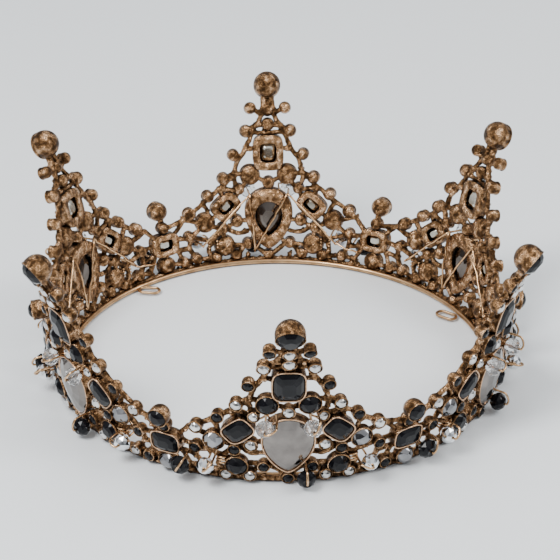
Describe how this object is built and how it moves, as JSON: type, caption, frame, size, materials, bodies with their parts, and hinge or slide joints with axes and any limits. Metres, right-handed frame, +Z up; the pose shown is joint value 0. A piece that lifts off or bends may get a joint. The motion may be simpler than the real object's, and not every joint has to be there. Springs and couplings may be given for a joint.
{
  "type": "round hair crown",
  "caption": "Full round baroque hair crown: open-work antique gold castings with pear, cushion and round stones, wired beads, a base ring and hair loops.",
  "frame": {"origin": "centre of the round base, on the surface that the crown stands on", "axes": "+Z up through the crown, -Y through the middle of peak 1; panels are numbered round towards +X"},
  "size_m": [0.1516, 0.171, 0.0611],
  "materials": {
    "antique_gold": "cast, antiqued, rough in the hollows",
    "ring_gold": "smooth drawn wire, satin",
    "wire_gold": "bright thin wire",
    "black_stone": "faceted, polished",
    "grey_stone": "faceted, metallic grey",
    "smoke_mirror_stone": "faceted, smoky mirror back",
    "clear_stone": "faceted clear glass on foil",
    "crystal": "faceted clear glass",
    "silver_bead": "faceted, silvered",
    "black_bead": "faceted, polished"
  },
  "bodies": {
    "root": {"panel_casting_1": "antique_gold", "panel_casting_2": "antique_gold", "panel_casting_3": "antique_gold", "panel_casting_4": "antique_gold", "panel_casting_5": "antique_gold", "panel_casting_6": "antique_gold", "base_ring": "ring_gold", "hair_loop_left": "ring_gold", "hair_loop_right": "ring_gold", "bead_wires": "wire_gold", "pear_stones": "smoke_mirror_stone", "crest_stones": "black_stone", "shoulder_stones": "black_stone", "link_stones": "black_stone", "finial_stones": "black_stone", "link_finial_stones": "black_stone", "clear_chatons": "clear_stone", "black_chatons": "black_stone", "black_round_stones": "black_stone", "grey_round_stones": "grey_stone"},
    "crystal_bead_left_1": {"crystal_bead_left_1": "crystal"},
    "crystal_bead_right_1": {"crystal_bead_right_1": "crystal"},
    "silver_bead_left_1": {"silver_bead_left_1": "silver_bead"},
    "silver_bead_right_1": {"silver_bead_right_1": "silver_bead"},
    "black_bead_tip_1": {"black_bead_tip_1": "black_bead"},
    "black_bead_side_1": {"black_bead_side_1": "black_bead"},
    "crystal_bead_left_2": {"crystal_bead_left_2": "crystal"},
    "crystal_bead_right_2": {"crystal_bead_right_2": "crystal"},
    "silver_bead_left_2": {"silver_bead_left_2": "silver_bead"},
    "silver_bead_right_2": {"silver_bead_right_2": "silver_bead"},
    "black_bead_tip_2": {"black_bead_tip_2": "black_bead"},
    "black_bead_side_2": {"black_bead_side_2": "black_bead"},
    "crystal_bead_left_3": {"crystal_bead_left_3": "crystal"},
    "crystal_bead_right_3": {"crystal_bead_right_3": "crystal"},
    "silver_bead_left_3": {"silver_bead_left_3": "silver_bead"},
    "silver_bead_right_3": {"silver_bead_right_3": "silver_bead"},
    "black_bead_tip_3": {"black_bead_tip_3": "black_bead"},
    "black_bead_side_3": {"black_bead_side_3": "black_bead"},
    "crystal_bead_left_4": {"crystal_bead_left_4": "crystal"},
    "crystal_bead_right_4": {"crystal_bead_right_4": "crystal"},
    "silver_bead_left_4": {"silver_bead_left_4": "silver_bead"},
    "silver_bead_right_4": {"silver_bead_right_4": "silver_bead"},
    "black_bead_tip_4": {"black_bead_tip_4": "black_bead"},
    "black_bead_side_4": {"black_bead_side_4": "black_bead"},
    "crystal_bead_left_5": {"crystal_bead_left_5": "crystal"},
    "crystal_bead_right_5": {"crystal_bead_right_5": "crystal"},
    "silver_bead_left_5": {"silver_bead_left_5": "silver_bead"},
    "silver_bead_right_5": {"silver_bead_right_5": "silver_bead"},
    "black_bead_tip_5": {"black_bead_tip_5": "black_bead"},
    "black_bead_side_5": {"black_bead_side_5": "black_bead"},
    "crystal_bead_left_6": {"crystal_bead_left_6": "crystal"},
    "crystal_bead_right_6": {"crystal_bead_right_6": "crystal"},
    "silver_bead_left_6": {"silver_bead_left_6": "silver_bead"},
    "silver_bead_right_6": {"silver_bead_right_6": "silver_bead"},
    "black_bead_tip_6": {"black_bead_tip_6": "black_bead"},
    "black_bead_side_6": {"black_bead_side_6": "black_bead"}
  },
  "joints": [
    {"name": "crystal_bead_left_1_spin", "type": "hinge", "parent": "root", "child": "crystal_bead_left_1", "pos_m": [-0.00677, -0.07439, 0.0225], "axis": [-0.0894, -0.9818, -0.1676], "continuous": true},
    {"name": "crystal_bead_right_1_spin", "type": "hinge", "parent": "root", "child": "crystal_bead_right_1", "pos_m": [0.00677, -0.07439, 0.0225], "axis": [0.0894, -0.9818, -0.1676], "continuous": true},
    {"name": "silver_bead_left_1_spin", "type": "hinge", "parent": "root", "child": "silver_bead_left_1", "pos_m": [-0.02358, -0.06809, 0.007], "axis": [-0.3226, -0.9316, -0.1676], "continuous": true},
    {"name": "silver_bead_right_1_spin", "type": "hinge", "parent": "root", "child": "silver_bead_right_1", "pos_m": [0.02358, -0.06809, 0.007], "axis": [0.3226, -0.9316, -0.1676], "continuous": true},
    {"name": "black_bead_tip_1_spin", "type": "hinge", "parent": "root", "child": "black_bead_tip_1", "pos_m": [0.00511, -0.07131, 0.0037], "axis": [0.0705, -0.9833, -0.1676], "continuous": true},
    {"name": "black_bead_side_1_spin", "type": "hinge", "parent": "root", "child": "black_bead_side_1", "pos_m": [-0.0309, -0.06479, 0.0054], "axis": [-0.4244, -0.8898, -0.1676], "continuous": true},
    {"name": "crystal_bead_left_2_spin", "type": "hinge", "parent": "root", "child": "crystal_bead_left_2", "pos_m": [0.06104, -0.04306, 0.0225], "axis": [0.8056, -0.5683, -0.1676], "continuous": true},
    {"name": "crystal_bead_right_2_spin", "type": "hinge", "parent": "root", "child": "crystal_bead_right_2", "pos_m": [0.0678, -0.03133, 0.0225], "axis": [0.8949, -0.4135, -0.1676], "continuous": true},
    {"name": "silver_bead_left_2_spin", "type": "hinge", "parent": "root", "child": "silver_bead_left_2", "pos_m": [0.04718, -0.05447, 0.007], "axis": [0.6455, -0.7452, -0.1676], "continuous": true},
    {"name": "silver_bead_right_2_spin", "type": "hinge", "parent": "root", "child": "silver_bead_right_2", "pos_m": [0.07076, -0.01363, 0.007], "axis": [0.9681, -0.1864, -0.1676], "continuous": true},
    {"name": "black_bead_tip_2_spin", "type": "hinge", "parent": "root", "child": "black_bead_tip_2", "pos_m": [0.06432, -0.03123, 0.0037], "axis": [0.8868, -0.4306, -0.1676], "continuous": true},
    {"name": "black_bead_side_2_spin", "type": "hinge", "parent": "root", "child": "black_bead_side_2", "pos_m": [0.04066, -0.05916, 0.0054], "axis": [0.5584, -0.8125, -0.1676], "continuous": true},
    {"name": "crystal_bead_left_3_spin", "type": "hinge", "parent": "root", "child": "crystal_bead_left_3", "pos_m": [0.0678, 0.03133, 0.0225], "axis": [0.8949, 0.4135, -0.1676], "continuous": true},
    {"name": "crystal_bead_right_3_spin", "type": "hinge", "parent": "root", "child": "crystal_bead_right_3", "pos_m": [0.06104, 0.04306, 0.0225], "axis": [0.8056, 0.5683, -0.1676], "continuous": true},
    {"name": "silver_bead_left_3_spin", "type": "hinge", "parent": "root", "child": "silver_bead_left_3", "pos_m": [0.07076, 0.01363, 0.007], "axis": [0.9681, 0.1864, -0.1676], "continuous": true},
    {"name": "silver_bead_right_3_spin", "type": "hinge", "parent": "root", "child": "silver_bead_right_3", "pos_m": [0.04718, 0.05447, 0.007], "axis": [0.6455, 0.7452, -0.1676], "continuous": true},
    {"name": "black_bead_tip_3_spin", "type": "hinge", "parent": "root", "child": "black_bead_tip_3", "pos_m": [0.0592, 0.04008, 0.0037], "axis": [0.8163, 0.5527, -0.1676], "continuous": true},
    {"name": "black_bead_side_3_spin", "type": "hinge", "parent": "root", "child": "black_bead_side_3", "pos_m": [0.07156, 0.00563, 0.0054], "axis": [0.9828, 0.0773, -0.1676], "continuous": true},
    {"name": "crystal_bead_left_4_spin", "type": "hinge", "parent": "root", "child": "crystal_bead_left_4", "pos_m": [0.00677, 0.07439, 0.0225], "axis": [0.0894, 0.9818, -0.1676], "continuous": true},
    {"name": "crystal_bead_right_4_spin", "type": "hinge", "parent": "root", "child": "crystal_bead_right_4", "pos_m": [-0.00677, 0.07439, 0.0225], "axis": [-0.0894, 0.9818, -0.1676], "continuous": true},
    {"name": "silver_bead_left_4_spin", "type": "hinge", "parent": "root", "child": "silver_bead_left_4", "pos_m": [0.02358, 0.06809, 0.007], "axis": [0.3226, 0.9316, -0.1676], "continuous": true},
    {"name": "silver_bead_right_4_spin", "type": "hinge", "parent": "root", "child": "silver_bead_right_4", "pos_m": [-0.02358, 0.06809, 0.007], "axis": [-0.3226, 0.9316, -0.1676], "continuous": true},
    {"name": "black_bead_tip_4_spin", "type": "hinge", "parent": "root", "child": "black_bead_tip_4", "pos_m": [-0.00511, 0.07131, 0.0037], "axis": [-0.0705, 0.9833, -0.1676], "continuous": true},
    {"name": "black_bead_side_4_spin", "type": "hinge", "parent": "root", "child": "black_bead_side_4", "pos_m": [0.0309, 0.06479, 0.0054], "axis": [0.4244, 0.8898, -0.1676], "continuous": true},
    {"name": "crystal_bead_left_5_spin", "type": "hinge", "parent": "root", "child": "crystal_bead_left_5", "pos_m": [-0.06104, 0.04306, 0.0225], "axis": [-0.8056, 0.5683, -0.1676], "continuous": true},
    {"name": "crystal_bead_right_5_spin", "type": "hinge", "parent": "root", "child": "crystal_bead_right_5", "pos_m": [-0.0678, 0.03133, 0.0225], "axis": [-0.8949, 0.4135, -0.1676], "continuous": true},
    {"name": "silver_bead_left_5_spin", "type": "hinge", "parent": "root", "child": "silver_bead_left_5", "pos_m": [-0.04718, 0.05447, 0.007], "axis": [-0.6455, 0.7452, -0.1676], "continuous": true},
    {"name": "silver_bead_right_5_spin", "type": "hinge", "parent": "root", "child": "silver_bead_right_5", "pos_m": [-0.07076, 0.01363, 0.007], "axis": [-0.9681, 0.1864, -0.1676], "continuous": true},
    {"name": "black_bead_tip_5_spin", "type": "hinge", "parent": "root", "child": "black_bead_tip_5", "pos_m": [-0.06432, 0.03123, 0.0037], "axis": [-0.8868, 0.4306, -0.1676], "continuous": true},
    {"name": "black_bead_side_5_spin", "type": "hinge", "parent": "root", "child": "black_bead_side_5", "pos_m": [-0.04066, 0.05916, 0.0054], "axis": [-0.5584, 0.8125, -0.1676], "continuous": true},
    {"name": "crystal_bead_left_6_spin", "type": "hinge", "parent": "root", "child": "crystal_bead_left_6", "pos_m": [-0.0678, -0.03133, 0.0225], "axis": [-0.8949, -0.4135, -0.1676], "continuous": true},
    {"name": "crystal_bead_right_6_spin", "type": "hinge", "parent": "root", "child": "crystal_bead_right_6", "pos_m": [-0.06104, -0.04306, 0.0225], "axis": [-0.8056, -0.5683, -0.1676], "continuous": true},
    {"name": "silver_bead_left_6_spin", "type": "hinge", "parent": "root", "child": "silver_bead_left_6", "pos_m": [-0.07076, -0.01363, 0.007], "axis": [-0.9681, -0.1864, -0.1676], "continuous": true},
    {"name": "silver_bead_right_6_spin", "type": "hinge", "parent": "root", "child": "silver_bead_right_6", "pos_m": [-0.04718, -0.05447, 0.007], "axis": [-0.6455, -0.7452, -0.1676], "continuous": true},
    {"name": "black_bead_tip_6_spin", "type": "hinge", "parent": "root", "child": "black_bead_tip_6", "pos_m": [-0.0592, -0.04008, 0.0037], "axis": [-0.8163, -0.5527, -0.1676], "continuous": true},
    {"name": "black_bead_side_6_spin", "type": "hinge", "parent": "root", "child": "black_bead_side_6", "pos_m": [-0.07156, -0.00563, 0.0054], "axis": [-0.9828, -0.0773, -0.1676], "continuous": true}
  ]
}
